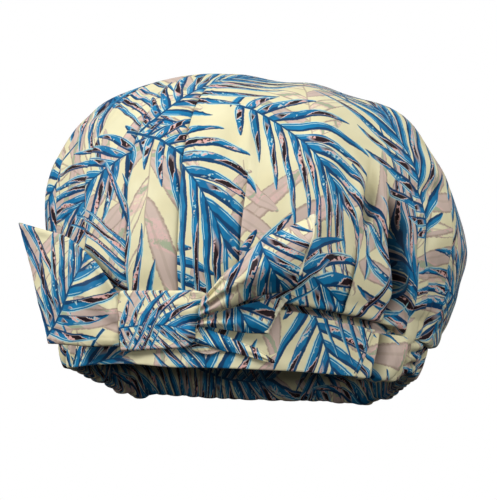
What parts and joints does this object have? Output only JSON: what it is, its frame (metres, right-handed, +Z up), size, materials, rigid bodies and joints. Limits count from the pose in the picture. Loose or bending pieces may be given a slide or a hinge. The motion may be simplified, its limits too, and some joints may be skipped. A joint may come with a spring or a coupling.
{
  "type": "shower cap",
  "caption": "Bouffant shower cap of leaf-printed cloth with a waterproof lining, a flat front band, a gathered elastic back and a tied bow.",
  "frame": {"origin": "centre of the head opening, on the plane of the hem", "axes": "+Z up through the crown, -Y to the front where the bow sits, +X to the wearer's left"},
  "size_m": [0.2367, 0.2616, 0.1748],
  "materials": {
    "printed_cloth": "satin woven cloth, cream ground with a blue, mauve and pink leaf print",
    "waterproof_lining": "thin soft dark film, slightly glossy",
    "stiffener": "non-woven",
    "seam_tape": "ribbed tape",
    "knitted_elastic": "knitted",
    "blue_thread": "twisted thread",
    "pale_thread": "twisted thread",
    "pale_cloth": "satin woven cloth, unprinted edge"
  },
  "bodies": {
    "root": {"crown_shell": "printed_cloth", "crown_lining": "waterproof_lining", "front_band_outer": "printed_cloth", "front_band_stiffener": "stiffener", "front_band_facing": "printed_cloth", "band_seam_tape": "seam_tape", "band_end_stitches_left": "blue_thread", "band_end_stitches_right": "blue_thread", "elastic_bar_tack_left": "pale_thread", "elastic_bar_tack_right": "pale_thread", "bow_wrap": "printed_cloth", "bow_strap": "printed_cloth", "wrap_tack_thread": "blue_thread", "strap_tack_thread": "blue_thread"},
    "elastic_back": {"elastic_casing": "printed_cloth", "elastic_band": "knitted_elastic"},
    "left_tail": {"bow_tail_left": "printed_cloth"},
    "right_wing": {"bow_wing_right": "printed_cloth"},
    "right_tail": {"bow_tail_right": "printed_cloth", "bow_tail_right_hem": "pale_cloth"}
  },
  "joints": [
    {"name": "back_stretch", "type": "slide", "parent": "root", "child": "elastic_back", "axis": [0, 1, 0], "range_m": [0, 0.02], "stiffness_N_per_m": 400, "springref_m": -0.01},
    {"name": "left_tail_lift", "type": "hinge", "parent": "root", "child": "left_tail", "pos_m": [-0.0528, -0.101, 0.0257], "axis": [-0.0285, -0.107, 0.9939], "range_deg": [0, 55]},
    {"name": "right_wing_lift", "type": "hinge", "parent": "root", "child": "right_wing", "pos_m": [-0.00025, -0.115, 0.0335], "axis": [0, 0.117, -0.9931], "range_deg": [0, 50]},
    {"name": "right_tail_droop", "type": "hinge", "parent": "root", "child": "right_tail", "pos_m": [-0.0015, -0.1096, 0.0243], "axis": [0, 1, 0], "range_deg": [0, 24]}
  ]
}
